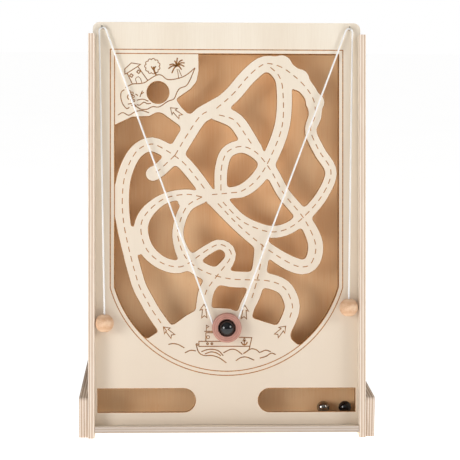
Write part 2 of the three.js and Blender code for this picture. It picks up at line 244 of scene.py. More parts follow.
# How deep the cord goes into the ring's rim, and how far below and above a bead's middle its last
# run ends and begins
IN_RING, BELOW_BEAD, ABOVE_BEAD = 2, 7, 9
EYE_UP, EYE_OUT = 408, 3.3
RING_AT = (-0.3, 109)
RING_OUTER, RING_BACK, RING_THICK = 14.7, 0.8, 10
RING_MIDDLE = RING_BACK + RING_THICK / 2
KNOB_OUT = 10.2
CORDS = {
    "left": {"side": -1, "eye": -124.7, "knob": (-121.8, 113.9), "ring_angle": 177},
    "right": {"side": 1, "eye": 123, "knob": (121.3, 129.1), "ring_angle": 33},
}


def cord_route(side, eye, knob, ring_angle):
    """The cord's line in four parts: from the ring to the eye, over through the eye, down to the
    bead, and on inside the bead."""
    angle = math.radians(ring_angle)
    rim = RING_OUTER - IN_RING
    ring_end = Vector((
        RING_AT[0] + rim * math.cos(angle), RING_AT[1] + rim * math.sin(angle), RING_MIDDLE,
    ))
    knob_end = Vector((knob[0], knob[1] - BELOW_BEAD, KNOB_OUT))
    knob_top = Vector((knob[0], knob[1] + ABOVE_BEAD, KNOB_OUT))
    centre = Vector((eye - side * TURN_INWARDS, EYE_UP - TURN_RADIUS + TURN_UP, EYE_OUT))
    inner_lean = 90 - math.degrees(math.atan2(centre.y - ring_end.y, side * (centre.x - ring_end.x)))
    turn = []
    for i in range(TURN_STEPS + 1):
        away = math.radians(inner_lean + (180 - inner_lean) * i / TURN_STEPS)
        turn.append(centre + Vector((-side * math.cos(away), math.sin(away), 0)) * TURN_RADIUS)
    run, drop = straight(ring_end, turn[0], 8), straight(turn[-1], knob_top, 8)
    tail = straight(knob_top, knob_end, 3)
    return run, turn, drop, tail


def straight(start, end, steps):
    return [start.lerp(end, i / steps) for i in range(steps + 1)]


def evenly(points, step):
    """The same line with points about step apart, and each one's distance along it."""
    long = [0]
    for a, b in zip(points, points[1:]):
        long.append(long[-1] + (b - a).length)
    count = math.ceil(long[-1] / step)
    made, k = [], 0
    for i in range(count + 1):
        at = long[-1] * i / count
        while k < len(long) - 2 and long[k + 1] < at:
            k += 1
        part = (at - long[k]) / max(long[k + 1] - long[k], 1e-9)
        made.append((points[k].lerp(points[k + 1], min(part, 1)), at))
    return made, long[-1]


def strand_section(angle):
    """The rope's radius at an angle: three round strands laid together."""
    offset, strand = 0.42, 0.58
    third = 2 * math.pi / 3
    away = (angle + third / 2) % third - third / 2
    return offset * math.cos(away) + math.sqrt(strand ** 2 - (offset * math.sin(away)) ** 2)


def make_cord(name, material):
    run, turn, drop, tail = cord_route(**CORDS[name])
    points = run + turn[1:] + drop[1:] + tail[1:]
    line, length = evenly(points, CORD_STEP)
    run_long = (run[-1] - run[0]).length
    drop_long = (drop[-1] - drop[0]).length
    drop_start = length - (tail[-1] - tail[0]).length - drop_long
    vertices, ring_share, knob_share = [], [], []
    places = [p for p, _ in line]
    for (point, at), (_, one, two) in zip(line, sides_of(places)):
        twist = 2 * math.pi * at / CORD_PITCH
        for k in range(CORD_AROUND):
            angle = 2 * math.pi * k / CORD_AROUND
            radius = CORD_RADIUS * strand_section(angle - twist)
            vertices.append(point + (one * math.cos(angle) + two * math.sin(angle)) * radius)
            ring_share.append(max(0, 1 - at / run_long))
            knob_share.append(min(1, max(0, (at - drop_start) / drop_long)))
    cord = add_object(f"cord_{name}", vertices, ring_faces(len(line), CORD_AROUND))
    finish_piece(
        cord, "root", material, [f"cord_{name}_diagonal", f"cord_{name}_strand"],
    )
    hook(cord, "ring", ring_share)
    hook(cord, f"knob_{name}", knob_share)


def hook(cord, body, shares):
    """The cord's points follow a body by their share of its motion."""
    group = cord.vertex_groups.new(name=body)
    for i, share in enumerate(shares):
        if share > 0:
            group.add([i], share, "REPLACE")
    modifier = cord.modifiers.new(f"follow_{body}", "HOOK")
    modifier.object = frame["bodies"][body]
    modifier.vertex_group = body
    modifier.falloff_type = "NONE"
    modifier.matrix_inverse = frame["bodies"][body].matrix_world.inverted() @ cord.matrix_world


# ---- materials ----

def colour(red, green, blue):
    """A colour from its sRGB values of 0 to 255, as the shader's linear one."""
    def linear(value):
        value /= 255
        return value / 12.92 if value <= 0.04045 else ((value + 0.055) / 1.055) ** 2.4
    return (linear(red), linear(green), linear(blue), 1)


def new_material(name, **sockets):
    material = bpy.data.materials.new(name)
    material.use_nodes = True
    shader = material.node_tree.nodes["Principled BSDF"]
    for socket, value in sockets.items():
        shader.inputs[socket.replace("_", " ")].default_value = value
    return material, material.node_tree, shader


def add_node(tree, kind, inputs=None, **settings):
    made = tree.nodes.new("ShaderNode" + kind)
    for key, value in settings.items():
        setattr(made, key, value)
    for key, value in (inputs or {}).items():
        if isinstance(value, bpy.types.NodeSocket):
            tree.links.new(value, made.inputs[key])
        else:
            made.inputs[key].default_value = value
    return made


def math_node(tree, operation, *values):
    inputs = dict(enumerate(values))
    return add_node(tree, "Math", inputs, operation=operation).outputs[0]


def mix(tree, share, one, two):
    """One colour or the other by share, from 0 to 1. The Mix node's colours are its sockets 6 and
    7, and its mixed colour is output 2."""
    return add_node(tree, "Mix", {0: share, 6: one, 7: two}, data_type="RGBA").outputs[2]


def spread_out(tree, value, low, high):
    """A value from low to high as 0 to 1, held at both ends."""
    inputs = {"Value": value, "From Min": low, "From Max": high}
    return add_node(tree, "MapRange", inputs).outputs[0]


def noise(tree, vector, scale, detail=3):
    """Noise stretched by a scale for each axis, per metre."""
    scaled = add_node(tree, "VectorMath", {0: vector, 1: scale}, operation="MULTIPLY").outputs[0]
    inputs = {"Vector": scaled, "Scale": 1, "Detail": detail}
    return add_node(tree, "TexNoise", inputs).outputs["Fac"]


def bump(tree, shader, height, strength, distance):
    inputs = {"Height": height, "Strength": strength, "Distance": distance}
    made = add_node(tree, "Bump", inputs)
    tree.links.new(made.outputs["Normal"], shader.inputs["Normal"])


def own_coordinates(tree, order, leaning=True):
    """Object coordinates of a CAD node as (across the grain, along it, through the sheet), with
    the last two also on their own."""
    vector = add_node(tree, "TexCoord").outputs["Object"]
    if leaning:
        inputs = {"Vector": vector, "Location": ORIGIN, "Rotation": (math.pi / 2 - LEAN, 0, 0)}
        vector = add_node(tree, "Mapping", inputs, vector_type="TEXTURE").outputs[0]
    parts = add_node(tree, "SeparateXYZ", {0: vector}).outputs
    across, along, through = (parts["XYZ".index(axis)] for axis in order)
    vector = add_node(tree, "CombineXYZ", {0: across, 1: along, 2: through}).outputs[0]
    return vector, along, through


FACE_LIGHT, FACE_DARK = colour(241, 230, 213), colour(233, 219, 199)
# Painted shade: the board's face is mixed towards this deeper tone at its lower end, for light falling
# off down the board
FACE_PAINTED_LOW_SHADE = colour(225, 208, 188)
LAYER_LIGHT, LAYER_DARK = colour(240, 226, 210), colour(206, 178, 154)
BURNT_LIGHT, BURNT_DARK = colour(168, 112, 50), colour(112, 70, 26)
VENEER = 1.3 * MM
# Noise of sheet material, across the grain, along it and through the sheet
BROAD_FIGURE, VENEER_FIBRE, VENEER_FLECK = (22, 3.2, 9), (900, 34, 500), (1500, 190, 700)
# Noise of turned wood, across the piece and along its axis
TURNED_GRAIN, TURNED_PORES = (260, 55, 260), (2400, 260, 2400)


def plywood(name, order, square_to, leaning=True, faces=None, edges=None, painted_low_shade=None):
    """Sheet material: rotary cut veneer on its faces, layers on its edges. square_to is the
    direction through the sheet, in the frame's axes. The face may carry painted shade: mixed towards a
    deeper tone at its lower end, standing in for light that falls off down the board."""
    face_light, face_dark = faces or (FACE_LIGHT, FACE_DARK)
    edge_light, edge_dark = edges or (LAYER_LIGHT, LAYER_DARK)
    material, tree, shader = new_material(name, Roughness=0.6)
    vector, along, through = own_coordinates(tree, order, leaning)
    broad = noise(tree, vector, BROAD_FIGURE, 2)
    fibre = noise(tree, vector, VENEER_FIBRE, 4)
    fleck = noise(tree, vector, VENEER_FLECK, 2)
    figure = math_node(tree, "ADD", math_node(tree, "MULTIPLY", broad, 0.72),
                       math_node(tree, "MULTIPLY", fibre, 0.28))
    face = mix(tree, spread_out(tree, figure, 0.36, 0.62), face_dark, face_light)
    # Painted shade: low on the sheet the face turns towards the deeper tone, standing in for light that
    # falls off towards the bottom
    if painted_low_shade:
        painted_shade_height = math_node(tree, "MULTIPLY_ADD", broad, 0.12, along)
        face = mix(tree, spread_out(tree, painted_shade_height, 0.08, 0.46), painted_low_shade, face)
    flecked = mix(tree, spread_out(tree, fleck, 0.68, 0.8), face, face_dark)
    # Layers: light and dark veneers in turn through the sheet
    share = math_node(tree, "DIVIDE", math_node(tree, "PINGPONG", through, VENEER), VENEER)
    grained = math_node(tree, "ADD", share, math_node(tree, "MULTIPLY", fibre, 0.5))
    layers = mix(tree, spread_out(tree, grained, 0.5, 0.95), edge_light, edge_dark)
    normal = add_node(tree, "TexCoord").outputs["Normal"]
    facing = add_node(tree, "VectorMath", {0: normal, 1: square_to}, operation="DOT_PRODUCT")
    on_face = spread_out(tree, math_node(tree, "ABSOLUTE", facing.outputs["Value"]), 0.6, 0.8)
    tree.links.new(mix(tree, on_face, layers, flecked), shader.inputs["Base Color"])
    bump(tree, shader, math_node(tree, "ADD", fibre, fleck), 0.22, 0.0002)
    return material


def turned_wood(name, light, dark, rings_per_m, roughness):
    """Wood turned about the piece's own Z axis: faint rings of growth and tool marks."""
    material, tree, shader = new_material(name, Roughness=roughness)
    vector = add_node(tree, "TexCoord").outputs["Object"]
    parts = add_node(tree, "SeparateXYZ", {0: vector}).outputs
    flat = add_node(tree, "CombineXYZ", {0: parts[0], 1: parts[1]}).outputs[0]
    radius = add_node(tree, "VectorMath", {0: flat}, operation="LENGTH").outputs["Value"]
    grain = noise(tree, vector, TURNED_GRAIN, 4)
    pores = noise(tree, vector, TURNED_PORES, 2)
    wander = math_node(tree, "ADD", math_node(tree, "MULTIPLY", radius, rings_per_m),
                       math_node(tree, "MULTIPLY", grain, 1.4))
    rings = math_node(tree, "PINGPONG", wander, 1.0)
    figure = math_node(tree, "ADD", math_node(tree, "MULTIPLY", rings, 0.35),
                       math_node(tree, "MULTIPLY", grain, 0.65))
    wood = mix(tree, spread_out(tree, figure, 0.25, 0.7), dark, light)
    flecked = mix(tree, spread_out(tree, pores, 0.62, 0.78), wood, dark)
    tree.links.new(flecked, shader.inputs["Base Color"])
    bump(tree, shader, math_node(tree, "ADD", rings, pores), 0.25, 0.00015)
    return material


def burnt_material(name, light, dark):
    """Laser engraving and scorched rims: toasted brown, uneven along the line."""
    material, tree, shader = new_material(name, Roughness=0.85)
    vector = add_node(tree, "TexCoord").outputs["Object"]
    uneven = noise(tree, vector, (420, 420, 420), 3)
    toasted = mix(tree, spread_out(tree, uneven, 0.35, 0.65), dark, light)
    tree.links.new(toasted, shader.inputs["Base Color"])
    return material


def cord_material():
    """White cotton: fine fibres, and a little grey that varies at random."""
    material, tree, shader = new_material("cotton", Roughness=0.88, Sheen_Weight=0.35)
    vector = add_node(tree, "TexCoord").outputs["Object"]
    fibre = noise(tree, vector, (5200, 1400, 5200), 3)
    soil = noise(tree, vector, (160, 60, 160), 2)
    tone = math_node(tree, "ADD", math_node(tree, "MULTIPLY", fibre, 0.5),
                     math_node(tree, "MULTIPLY", soil, 0.5))
    cotton = mix(tree, spread_out(tree, tone, 0.38, 0.62), colour(242, 240, 237), colour(255, 254, 253))
    tree.links.new(cotton, shader.inputs["Base Color"])
    bump(tree, shader, fibre, 0.5, 0.0001)
    return material


def metal_material(name, tint, rough, smudge):
    """Bright metal with fine scratches and smudges."""
    material, tree, shader = new_material(name, Metallic=1)
    vector = add_node(tree, "TexCoord").outputs["Object"]
    scratch = noise(tree, vector, (2600, 260, 2600), 3)
    cloud = noise(tree, vector, (170, 170, 170), 3)
    worn = math_node(tree, "MULTIPLY", cloud, smudge)
    tree.links.new(math_node(tree, "ADD", worn, rough), shader.inputs["Roughness"])
    dull = tuple(0.72 * c for c in tint[:3]) + (1,)
    plated = mix(tree, spread_out(tree, scratch, 0.4, 0.75), tint, dull)
    tree.links.new(plated, shader.inputs["Base Color"])
    bump(tree, shader, scratch, 0.08, 0.00005)
    return material


def black_material():
    """Black glossy ball, with the faintest dust and handling marks."""
    material, tree, shader = new_material("black_gloss", IOR=1.6)
    vector = add_node(tree, "TexCoord").outputs["Object"]
    cloud = noise(tree, vector, (240, 240, 240), 3)
    dust = noise(tree, vector, (3200, 3200, 3200), 2)
    tree.links.new(math_node(tree, "MULTIPLY_ADD", cloud, 0.05, 0.01), shader.inputs["Roughness"])
    tone = mix(tree, spread_out(tree, dust, 0.66, 0.9), colour(6, 6, 10), colour(22, 22, 27))
    tree.links.new(tone, shader.inputs["Base Color"])
    return material


DEEP_BURN = burnt_material("deep_burn", BURNT_LIGHT, BURNT_DARK)
LIGHT_BURN = burnt_material("light_burn", colour(192, 134, 72), colour(152, 98, 46))
CORD = cord_material()
RING_WOOD = turned_wood("ring_wood", colour(196, 145, 130), colour(172, 120, 106), 900, 0.55)
BEECH = turned_wood("beech", colour(236, 200, 166), colour(210, 164, 126), 420, 0.5)
STEEL = metal_material("bright_steel", colour(160, 155, 148), 0.03, 0.08)
ZINC = metal_material("zinc_plate", colour(205, 203, 196), 0.24, 0.3)
BLACK = black_material()

for side in CORDS:
    make_cord(side, CORD)


# ---- the case, carried over from CAD ----

def dress(node, material, rounding=0):
    """A CAD node's better material, with its sharp edges eased."""
    obj = frame["nodes"][node]
    obj.data.materials.clear()
    obj.data.materials.append(material)
    if rounding:
        ease = obj.modifiers.new("eased_edges", "BEVEL")
        ease.width, ease.segments = rounding * MM, 2
        ease.limit_method, ease.angle_limit = "ANGLE", math.radians(40)
        ease.use_clamp_overlap = False


# Painted warm bounce light: the back panel is birch ply like the board, but its tones are warmer and
# more orange, standing in for warm light bounced about inside the case
BACK_PAINTED_BOUNCE_LIGHT, BACK_PAINTED_BOUNCE_DARK = colour(254, 216, 170), colour(244, 194, 142)
# The board's face carries painted shade, deeper towards its lower end
BOARD = plywood("birch_board", "XYZ", OUT, edges=(BURNT_LIGHT, BURNT_DARK), painted_low_shade=FACE_PAINTED_LOW_SHADE)
UPRIGHT = plywood("birch_side", "ZYX", ACROSS)
LEVEL = plywood("birch_rail", "ZXY", UP, edges=(colour(205, 192, 181), colour(186, 168, 152)))
FOOT_EDGES = colour(233, 217, 201), colour(192, 164, 141)
FOOT = plywood("birch_foot", "ZYX", ACROSS, leaning=False, edges=FOOT_EDGES)
# The back panel's colours are painted warm bounce light
BACKING_PAINTED_BOUNCE = plywood("backing", "XYZ", OUT, faces=(BACK_PAINTED_BOUNCE_LIGHT, BACK_PAINTED_BOUNCE_DARK))

dress("maze_board", BOARD)
dress("back_panel", BACKING_PAINTED_BOUNCE)
for node in ("side_panel_left", "side_panel_right"):
    dress(node, UPRIGHT)
for node in ("bottom_rail", "top_rail", "trough_floor"):
    dress(node, LEVEL, 0.3)
for node in ("foot_left", "foot_right"):
    dress(node, FOOT, 0.4)


# ---- engraving on the board ----

# Engraved lines: how far they reach into the board and stand on it, and their usual width
LINE_LOW, LINE_HIGH = -0.05, 0.06
LINE_WIDTH = 0.95
# The least cosine that a mitre is drawn for, so that a sharp corner doesn't grow a spike
SHARPEST_MITRE = 0.45


def stroke(points, width=LINE_WIDTH, closed=False):
    """A thin flat line along points in the board's face, with mitred corners."""
    points = [Vector((p[0], p[1])) for p in points]
    count = len(points)
    vertices = []
    for i, point in enumerate(points):
        before = points[i - 1] if closed or i else point
        after = points[(i + 1) % count] if closed or i < count - 1 else point
        one = (point - before).normalized() if before != point else (after - point).normalized()
        two = (after - point).normalized() if after != point else one
        square = Vector((-one.y - two.y, one.x + two.x)).normalized()
        spread = width / 2 / max(SHARPEST_MITRE, square.dot(Vector((-two.y, two.x))))
        for side, out in ((1, LINE_LOW), (-1, LINE_LOW), (-1, LINE_HIGH), (1, LINE_HIGH)):
            at = point + square * spread * side
            vertices.append((at.x, at.y, out))
    return vertices, ring_faces(count, 4, closed)


def engrave(name, strokes, material):
    """One piece holding several engraved lines."""
    finish_piece(add_object(name, *join(*strokes), smooth=False), "root", material)


DASH, GAP, DASH_WIDTH = 6.2, 3.6, 0.9


def dashes(points):
    """Short strokes along a smooth line."""
    line, length = evenly(smooth_line(points), 0.6)
    made = []
    for i in range(int((length + GAP) / (DASH + GAP))):
        start = i * (DASH + GAP)
        part = [p for p, at in line if start <= at <= start + DASH]
        if len(part) > 2:
            last = part[-1:] if (len(part) - 1) % 3 else []
            made.append(stroke(part[::3] + last, DASH_WIDTH))
    return made


# The middle of each path of the maze, from one end or fork to the next
ROUTES = {
    "outer_left": [
        (-60, 105), (-74.5, 126), (-79.5, 135), (-87, 149), (-91.5, 163), (-98, 188), (-103, 213),
        (-104.5, 237), (-101.5, 262), (-91, 284), (-77.5, 292), (-66, 289), (-45, 275), (-31, 259),
        (-19, 243),
    ],
    "rise": [(-52, 281), (-39.5, 302), (-27, 320), (-16.5, 326.5)],
    "dead_end": [(-52, 281), (-60.5, 273), (-68, 266), (-74, 262.5)],
    "top_right": [
        (-10.5, 328), (5.5, 342), (22, 361), (35, 371.5), (43.5, 373), (57.5, 368), (75, 354),
        (86.5, 338), (88.5, 321.5), (84, 306.5), (92.5, 286), (104.5, 265), (95.5, 241),
        (77.5, 220), (62.5, 208.5), (47.5, 204.5), (33, 207), (13.5, 216.5), (-6.5, 237),
    ],
    "middle": [
        (43.5, 369.5), (52, 361), (56, 346), (55.5, 311.5), (44, 280), (31, 258), (16, 246),
        (3.5, 243.5), (-25, 241),
    ],
    "loop": [
        (-6, 246), (-5.5, 268.5), (0.5, 284.5), (15, 290), (30, 283.5), (44, 266), (57, 243),
        (77.5, 217.5), (89, 192), (85.5, 174.5), (77.5, 169.5), (64.5, 172.5), (41, 187),
        (13.5, 209.5), (-12, 236),
    ],
    "cross": [(-8, 321.5), (-2, 320), (8.5, 315.5), (20, 299.5), (29, 286)],
    "left_middle": [
        (-25, 239.5), (-41.5, 242), (-64, 237), (-81.5, 221.5), (-86, 207), (-80.5, 187.5),
        (-66, 174), (-50, 169.5), (-39.5, 172.5), (-19.5, 186.5), (-7, 192), (3, 186), (3, 177.5),
        (-9.5, 161), (-20, 146.5), (-23, 135),
    ],
    "inner_left": [
        (-25, 239.5), (-40, 230), (-48.3, 210), (-48.5, 197), (-40.5, 178), (-23, 165),
        (3.5, 157.5), (41, 155.5), (58, 148), (65.5, 132), (64.5, 123), (61, 113),
    ],
    "stem": [(35.5, 192), (33, 168.5), (26, 141), (21, 131)],
}

# The part of the board that is cut into paths: straight at the sides and top, an arc below
WINDOW_HALF, WINDOW_TOP, WINDOW_CENTRE, WINDOW_RADIUS = 111.8, 382.2, (-0.1, 182), 116.5
BORDER_OUTSETS = 0.45, 4.6


def border(outset):
    """The outline that far outside the part that is cut into paths."""
    half, radius = WINDOW_HALF + outset, WINDOW_RADIUS + outset
    start = math.degrees(math.acos(half / radius))
    top = WINDOW_TOP + outset
    return [(half, top), (-half, top), *arc(WINDOW_CENTRE, radius, 180 + start, 360 - start, 60)]


def arrow(tip, turn, long=13.5):
    """A block arrow with a notched tail, its tip at a point and turned from pointing right."""
    head, shaft = 0.31 * long, 0.12 * long
    outline = [
        (0, 0), (-0.42 * long, head), (-0.37 * long, shaft), (-long, 0.2 * long), (-0.84 * long, 0),
        (-long, -0.2 * long), (-0.37 * long, -shaft), (-0.42 * long, -head),
    ]
    return stroke(turned(outline, tip, turn), 0.9, closed=True)


def circle(centre, radius, width=0.7, steps=20):
    return stroke(arc(centre, radius, 0, 360 - 360 / steps, steps - 1), width, closed=True)


def drawn(points, width=LINE_WIDTH):
    return stroke(smooth_line(points, 1.2), width)


def window_pane(centre, size, turn):
    """A small square window, turned."""
    half = size / 2
    corners = [(half, half), (-half, half), (-half, -half), (half, -half)]
    return stroke(turned(corners, centre, turn), 1, closed=True)


def scalloped(centre, radius, lobes, depth):
    """A tree's crown: a circle of small bulges."""
    points = []
    for i in range(lobes * 6):
        angle = 2 * math.pi * i / (lobes * 6)
        reach = radius + depth * abs(math.sin(lobes * angle / 2))
        points.append((centre[0] + reach * math.cos(angle), centre[1] + reach * math.sin(angle)))
    return stroke(points, 0.85, closed=True)


def house():
    return [
        stroke([(-102, 362), (-100, 362.8), (-89, 369.8), (-86.5, 371.8), (-95.5, 373.2),
                (-102, 367.2)], 0.9, closed=True),
        stroke([(-99.5, 362.6), (-94.5, 352)]),
        stroke([(-89, 369.5), (-79.2, 355.8)]),
        drawn([(-90, 352.5), (-91.3, 357.3), (-88.6, 359.4), (-86.4, 357.4), (-85, 353.3)], 0.7),
        window_pane((-95.5, 360.6), 2.5, -35),
        window_pane((-88.4, 364.4), 2.5, -35),
    ]


def trees():
    made = [
        scalloped((-74.5, 370), 6.6, 11, 1.2),
        drawn([(-73.4, 369.5), (-72.6, 365), (-70.8, 361.4)], 1.7),
        drawn([(-75.8, 369.8), (-73.6, 366.8), (-71.2, 370)], 1.2),
        drawn([(-50, 367.4), (-49, 363), (-48.4, 358.4)], 0.7),
        drawn([(-48.2, 367), (-46.8, 363.5), (-45.2, 360)], 0.7),
    ]
    # A palm: bowed fronds from its crown
    crown, bow_up = Vector((-50.4, 370.2)), Vector((0, 1.5))
    fronds = [
        (-58.6, 367.6), (-57.6, 371.2), (-55.2, 363), (-49.6, 378.6), (-52.6, 375.6), (-44.4, 376.4),
        (-42.4, 373.4), (-42.6, 369.8), (-45.4, 366.6),
    ]
    for frond in fronds:
        tip = Vector(frond)
        made.append(drawn([crown, (crown + tip) / 2 + bow_up, tip], 1.3))
    return made


def island():
    lines = [
        [(-101.5, 348.5), (-94.5, 352), (-88.5, 352.5), (-82.5, 353.5), (-78, 356.5), (-70.5, 361),
         (-65.5, 361), (-59, 356.7), (-48.5, 358), (-40.5, 361.5), (-32, 368.5)],
        [(-32, 368.5), (-34, 363.5), (-37.5, 355.5), (-41, 350.5), (-47, 348), (-50, 344),
         (-53, 337.5), (-59, 335), (-67.5, 329.5), (-74.5, 329.5), (-80, 327), (-86, 327),
         (-90.5, 329.5), (-95.5, 331)],
        [(-102.5, 346.5), (-105.5, 344), (-106, 338.5), (-104, 332), (-100, 327.5), (-97.5, 329)],
        [(-90, 336), (-84, 337), (-78.5, 335)],
        [(-90, 331.5), (-87, 331.2), (-83, 334), (-79.5, 332.5), (-76, 333)],
        [(-99, 332), (-95, 332.5), (-90.5, 330.5)],
        [(-109, 321), (-104, 323.5), (-98, 321), (-91.5, 324.5), (-84.5, 325.5), (-78, 323.5)],
        [(-87, 339), (-86, 342), (-84.5, 345.5)],
        [(-86, 342), (-84.5, 343), (-83, 344)],
        [(-91.5, 342), (-90.2, 341.6), (-89, 340.3)],
        [(-98.5, 341.5), (-99.5, 339), (-98, 336.5)],
    ]
    bushes = [(-97.4, 344.2, 1.3), (-94.8, 343, 1.2), (-96.2, 340.4, 1.3), (-93.6, 339.8, 1.1),
              (-95, 336.8, 1.3), (-93, 335.6, 1)]
    return [drawn(line) for line in lines] + [circle((x, y), r, 0.8, 12) for x, y, r in bushes]


def ship():
    made = [
        stroke([(-5, 95), (-28, 95), (-28, 90), (23, 90), (25, 98.6), (12, 99)]),
        stroke([(-21, 95), (-21, 103.6), (-10, 103.6)]),
        stroke([(-22.5, 105), (-10, 105)]),
        stroke([(-20.6, 105), (-20.6, 111.2), (-18.2, 109.8), (-20.6, 108)], 0.7),
        circle((-18.8, 99.2), 1.5),
        circle((-19.4, 92.6), 0.9, 1, 12),
        circle((-15, 92.6), 0.9, 1, 12),
        circle((-30, 91.8), 1, 0.8, 12),
        # A plain anchor on the bow
        circle((17.5, 97), 0.8, 0.8, 12),
        stroke([(17.5, 96.4), (17.5, 91.8)], 1),
        stroke([(15.6, 95.4), (19.4, 95.4)], 1),
        drawn([(14.4, 94.4), (15.6, 92.2), (17.5, 91.4), (19.4, 92.2), (20.6, 94.4)], 1.3),
    ]
    hull = [
        [(-30.5, 93), (-30, 89), (-28.6, 85), (-25.8, 82), (-21.5, 80.6)],
        [(23, 90), (22, 86.5), (17.5, 83)],
    ]
    waves = [
        [(-58.5, 92), (-54, 92.8), (-48.5, 91.8), (-42.5, 88.5)],
        [(-42, 83.5), (-36.5, 86), (-31, 85.5)],
        [(-25.5, 84.6), (-20, 86.6), (-14, 87), (-8, 85.2), (-3.6, 80.6)],
        [(-22, 82.4), (-16, 84.4), (-10.5, 83.4), (-6, 80.6)],
        [(-3.5, 83.4), (3.5, 86.8), (9, 86.4), (15.5, 81.8)],
        [(16.5, 82.6), (20, 85), (24.5, 87.4), (29.5, 86.4), (33, 83.4)],
        [(33.4, 83.8), (39, 86), (44, 84.4)],
        [(33, 78), (39.5, 80), (44.5, 83), (49, 81.6)],
        [(9, 75.5), (13.5, 78.4), (19.5, 79.2), (27.5, 76)],
        [(-21.5, 80.6), (-15, 80.8), (-7.5, 78.4), (-0.5, 73.4)],
    ]
    return made + [drawn(line, 1.05) for line in hull + waves]


# Each arrow's tip and its turn in degrees
ARROWS = [((-56.5, 328.5), 139), ((-63.5, 109.5), 135), ((-23, 132), 92), ((18, 131), 86),
          ((59, 110), 46)]


def engrave_board():
    lines = [stroke(border(outset), closed=True) for outset in BORDER_OUTSETS]
    engrave("engraved_border", lines, LIGHT_BURN)
    dashed = [one for route in ROUTES.values() for one in dashes(route)]
    engrave("engraved_dashes", dashed, LIGHT_BURN)
    engrave("engraved_arrows", [arrow(tip, turn) for tip, turn in ARROWS], DEEP_BURN)
    engrave("engraved_house", house(), DEEP_BURN)
    engrave("engraved_trees", trees(), DEEP_BURN)
    engrave("engraved_island", island(), DEEP_BURN)
    engrave("engraved_ship", ship(), DEEP_BURN)


def face_outlines(node):
    """The closed outlines of a node's front face, in the case's millimetres, solid on the left."""
    facing_out, near_face = 0.99, 0.02
    mesh = frame["nodes"][node].data
    to_case = CASE.inverted()
    points = [to_case @ v.co / MM for v in mesh.vertices]
    nexts, seen = {}, set()
    for polygon in mesh.polygons:
        corners = [tuple(round(x, 3) for x in points[i]) for i in polygon.vertices]
        if polygon.normal.dot(OUT) > facing_out and all(abs(c[2]) < near_face for c in corners):
            ring = [c[:2] for c in corners]
            seen.update(zip(ring, ring[1:] + ring[:1]))
    for a, b in seen:
        if (b, a) not in seen:
            nexts[a] = b
    outlines = []
    while nexts:
        start, here = next(iter(nexts.items()))
        outline = [start]
        del nexts[start]
        while here != start and here in nexts:
            outline.append(here)
            here = nexts.pop(here)
        outlines.append(outline)
    return outlines


def scorch_rims(width=0.5):
    """The laser's brown rim round every hole in the board, on the board's own side of the edge."""
    strokes = []
    for outline in face_outlines("maze_board"):
        area = sum(a[0] * b[1] - b[0] * a[1] for a, b in zip(outline, outline[1:] + outline[:1]))
        if area < 0 and len(outline) > 3:
            inset = []
            for before, here, after in zip(outline[-1:] + outline, outline, outline[1:] + outline[:1]):
                one = (Vector(here) - Vector(before)).normalized()
                two = (Vector(after) - Vector(here)).normalized()
                square = Vector((-one.y - two.y, one.x + two.x)).normalized()
                inset.append(Vector(here) + square * width / 2)
            strokes.append(stroke(inset, width, closed=True))
    engrave("scorched_rims", strokes, LIGHT_BURN)


engrave_board()
scorch_rims()


# ---- ring, balls, beads, eyes and screws ----

def ring_profile():
    """The ring's section: bevelled hole, three fine turned grooves on each face, a rounded rim."""
    hole, bevel, round_off = 8.6, 0.6, 1.8
    half = RING_THICK / 2
    face = [(hole, -half + bevel), (hole + bevel, -half)]
    for groove in (10.1, 11.3, 12.3):
        face += [(groove - 0.18, -half), (groove, -half + 0.14), (groove + 0.18, -half)]
    for i in range(9):
        angle = math.pi / 2 * i / 8
        face.append((
            RING_OUTER - round_off + round_off * math.sin(angle),
            -half + round_off - round_off * math.cos(angle),
        ))
    return face + [(r, -h) for r, h in reversed(face)]


def case_at(across, up, out):
    """Axes of the case at a place in it, for a piece that is built about that place."""
    return CASE @ Matrix.Translation(Vector((across, up, out)) * MM)


def keep_edges_keen(obj):
    """Smooth shading stops at the piece's sharp edges."""
    modifier = obj.modifiers.new("keen_edges", "EDGE_SPLIT")
    modifier.split_angle = math.radians(35)


def make_ring():
    obj = add_object("turned_ring", *lathe(ring_profile(), 96, closed=True),
                     matrix=case_at(*RING_AT, RING_MIDDLE))
    finish_piece(obj, "ring", RING_WOOD, ["ring"])
    keep_edges_keen(obj)


# The balls' radii
RING_BALL, TROUGH_BALL = 8, 6.5


def make_ball(name, node, body, radius, material):
    """A ball where its CAD node is, as an even net of triangles."""
    low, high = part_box(node)
    build = bmesh.new()
    bmesh.ops.create_icosphere(build, subdivisions=5, radius=radius)
    vertices = [v.co.copy() for v in build.verts]
    faces = [tuple(v.index for v in face.verts) for face in build.faces]
    build.free()
    obj = add_object(name, vertices, faces, matrix=Matrix.Translation((low + high) / 2))
    finish_piece(obj, body, material, [node])


def bead_profile():
    """A turned bead: round, with small flats at both ends and a chamfered hole for the cord."""
    radius, flat, hole, chamfer = 9.2, 3.6, 1.7, 0.5
    start = math.asin(flat / radius)
    height = radius * math.cos(start)
    points = [(hole, -height + chamfer), (hole + chamfer, -height)]
    for i in range(33):
        angle = start + (math.pi - 2 * start) * i / 32
        points.append((radius * math.sin(angle), -radius * math.cos(angle)))
    return points + [(hole + chamfer, height), (hole, height - chamfer)]


def make_bead(name, knob):
    stand = Matrix.Rotation(-math.pi / 2, 4, "X")
    obj = add_object(f"bead_{name}", *lathe(bead_profile(), 64, closed=True),
                     matrix=case_at(*knob, KNOB_OUT) @ stand)
    finish_piece(obj, f"knob_{name}", BEECH, [f"knob_{name}"])
    keep_edges_keen(obj)


